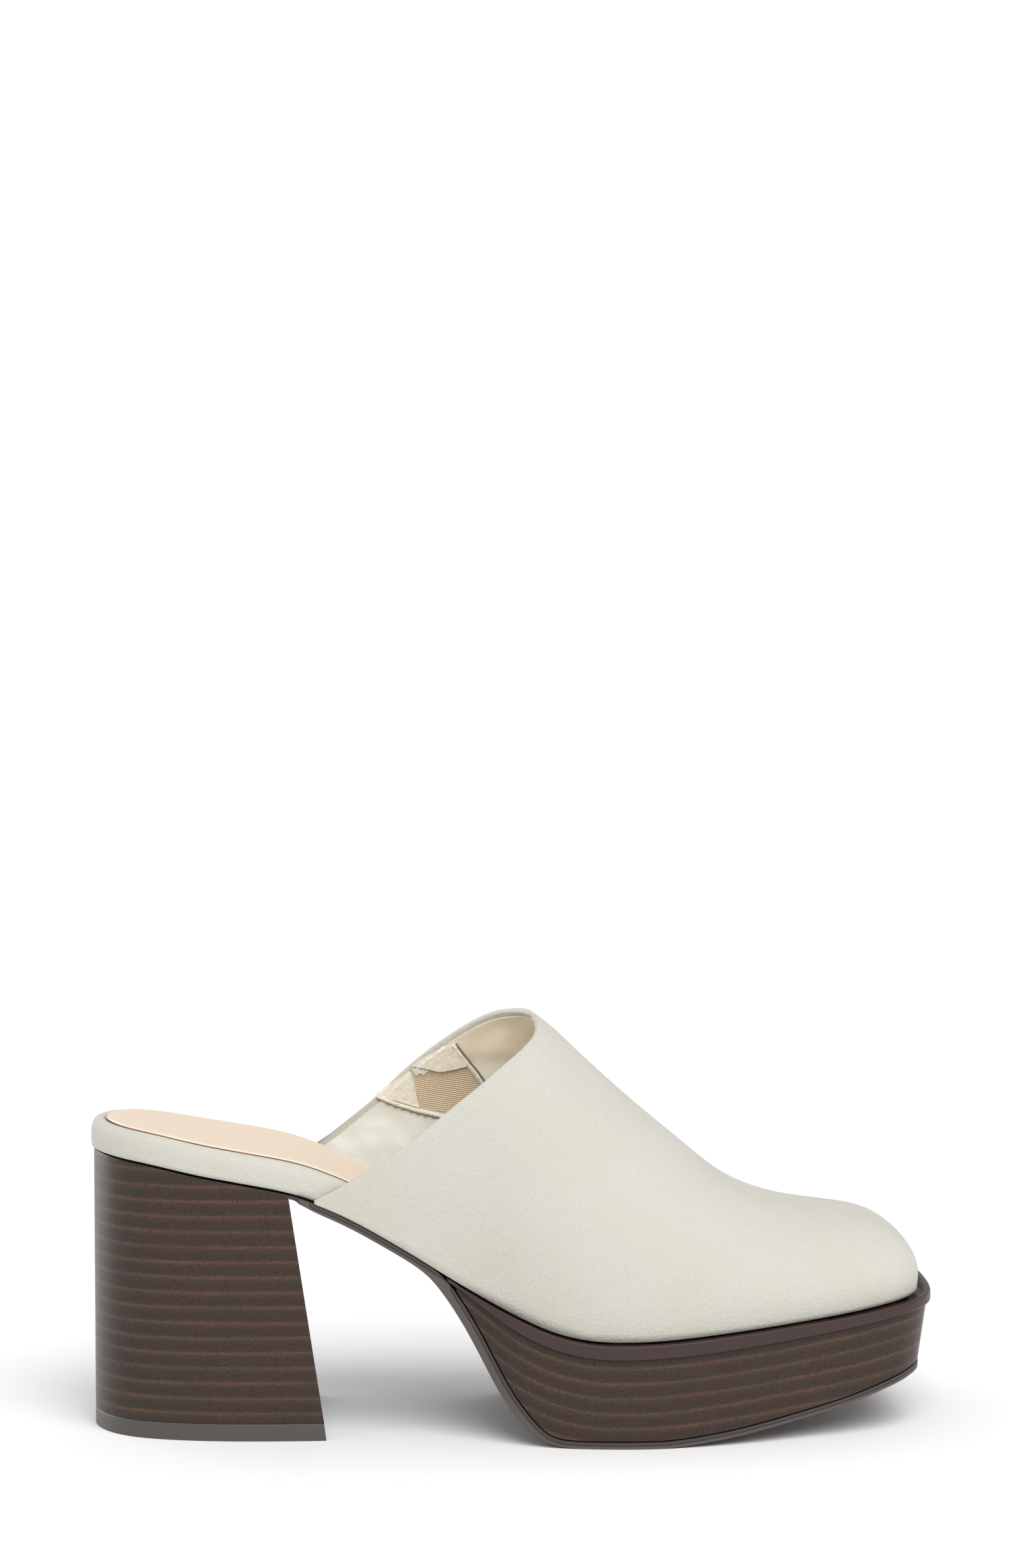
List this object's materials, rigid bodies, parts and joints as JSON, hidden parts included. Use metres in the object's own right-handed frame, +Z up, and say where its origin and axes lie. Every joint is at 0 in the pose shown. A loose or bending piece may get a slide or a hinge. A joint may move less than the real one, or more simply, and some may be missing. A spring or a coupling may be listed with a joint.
{
  "type": "platform mule",
  "caption": "Right-foot closed-toe, open-back mule with a tall block heel and a platform sole, in pale faux nubuck over a stacked-wood look.",
  "frame": {"origin": "on the floor under the middle of the shoe's bounding box", "axes": "+X from the heel to the toe, +Y to the inner side of the foot, +Z up"},
  "size_m": [0.2432, 0.094, 0.1185],
  "materials": {
    "outsole": "matt grey-brown rubber sheet",
    "stacked_wood": "dark brown stacked-wood look with thin lighter lines, satin",
    "rim": "smooth plum-brown, semi-gloss",
    "top_piece": "matt grey-brown rubber",
    "upper": "off-white faux nubuck with a very fine grain",
    "footbed": "off-white faux nubuck, wrapped over the edge",
    "sock": "smooth beige faux leather"
  },
  "bodies": {
    "root": {"outsole": "outsole", "platform": "stacked_wood", "platform_rim": "rim", "heel_block": "stacked_wood", "heel_top_piece": "top_piece", "upper": "upper", "footbed": "footbed", "insole_sock": "sock"}
  },
  "joints": []
}
